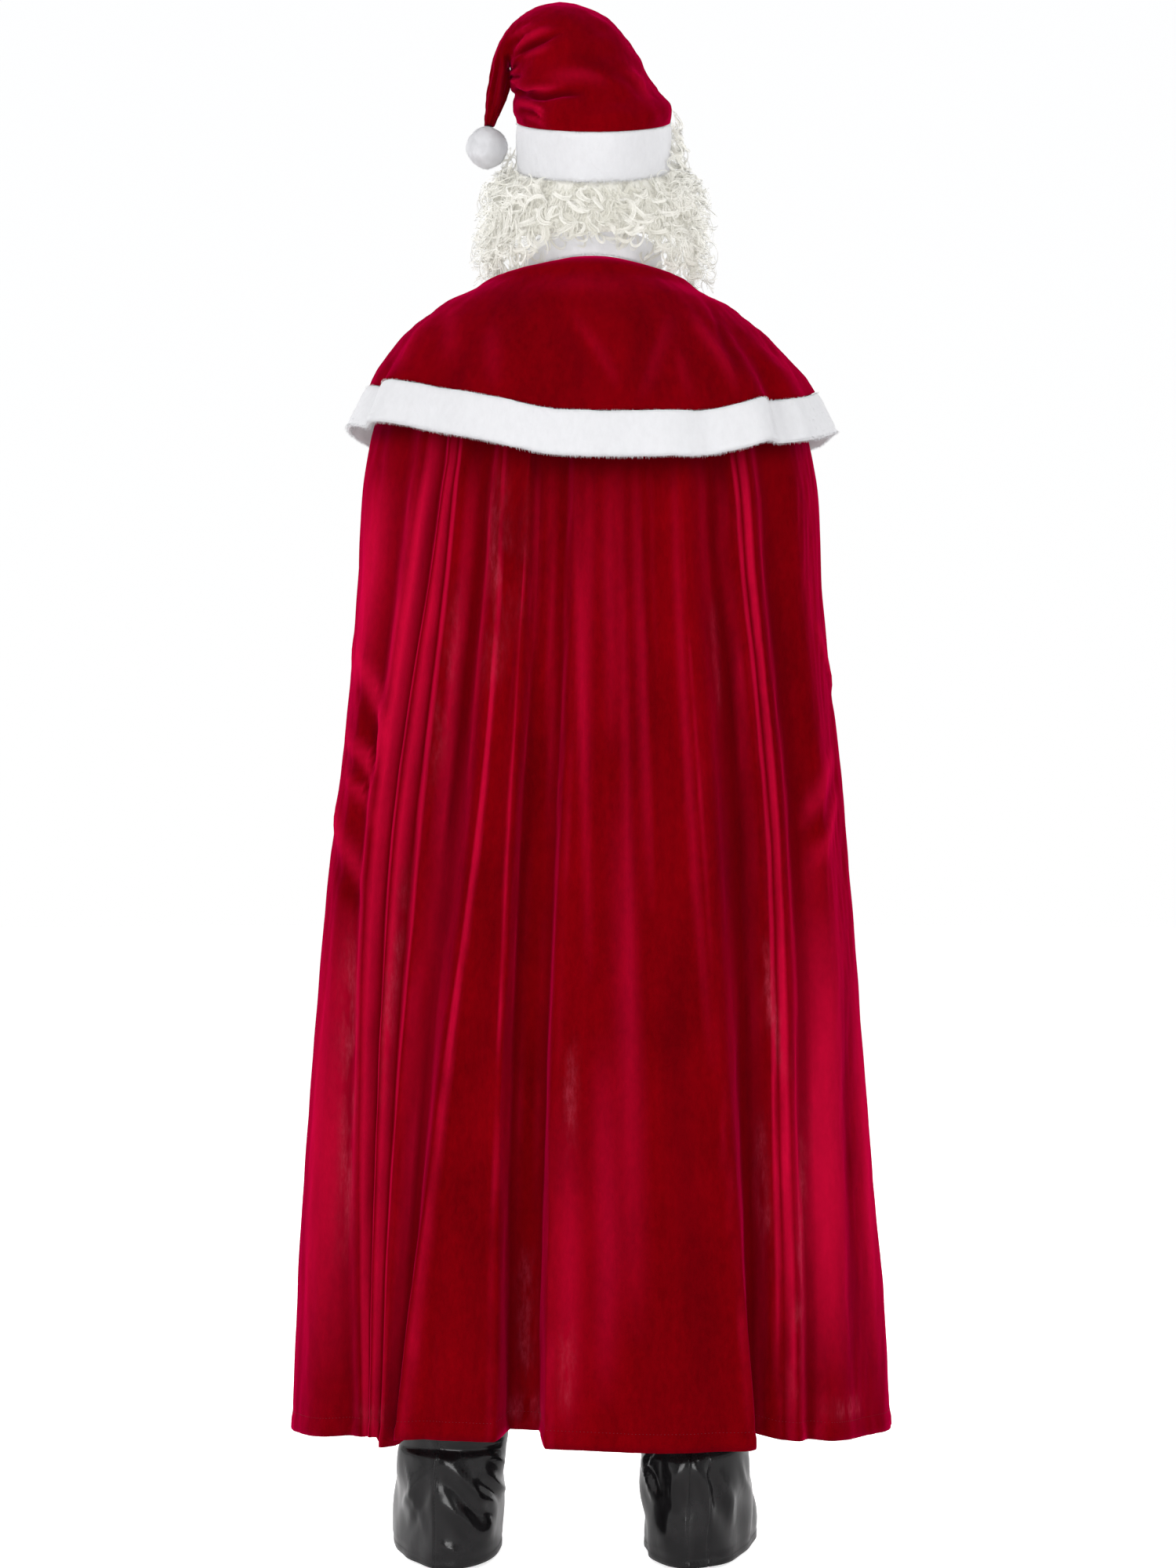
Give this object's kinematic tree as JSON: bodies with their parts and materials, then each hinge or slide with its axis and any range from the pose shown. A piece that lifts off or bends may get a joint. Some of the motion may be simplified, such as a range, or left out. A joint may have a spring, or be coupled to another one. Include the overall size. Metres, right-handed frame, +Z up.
{
  "type": "santa suit",
  "caption": "Worn, empty Santa costume: tipped hat with bobble, curly wig, long velvet cloak with plush-trimmed capelet, belted jacket, trousers and boot covers.",
  "frame": {"origin": "middle of the neck opening, where the wearer holds the suit up; the floor under the wearer is 1.5 m below", "axes": "+Z up, the front of the suit faces -Y, the wearer's left is +X"},
  "size_m": [0.7181, 0.4098, 1.8439],
  "materials": {
    "velvet": "deep red crushed velvet with a soft nap",
    "plush": "white short-pile plush",
    "curls": "cream synthetic curls",
    "patent": "glossy black imitation leather",
    "buckle_metal": "satin pale metal"
  },
  "bodies": {
    "root": {"hat_crown": "velvet", "hat_band": "plush", "hat_bobble": "plush", "wig": "curls", "collar": "plush", "capelet": "velvet", "capelet_trim": "plush", "cloak": "velvet", "jacket_back": "velvet", "jacket_front_left": "velvet", "jacket_front_right": "velvet", "jacket_front_trim": "plush", "jacket_hem_trim": "plush", "sleeve_left": "velvet", "cuff_left": "plush", "sleeve_right": "velvet", "cuff_right": "plush", "trousers_left": "velvet", "trousers_right": "velvet", "boot_left": "patent", "boot_right": "patent", "belt": "patent", "belt_buckle": "buckle_metal"}
  },
  "joints": []
}
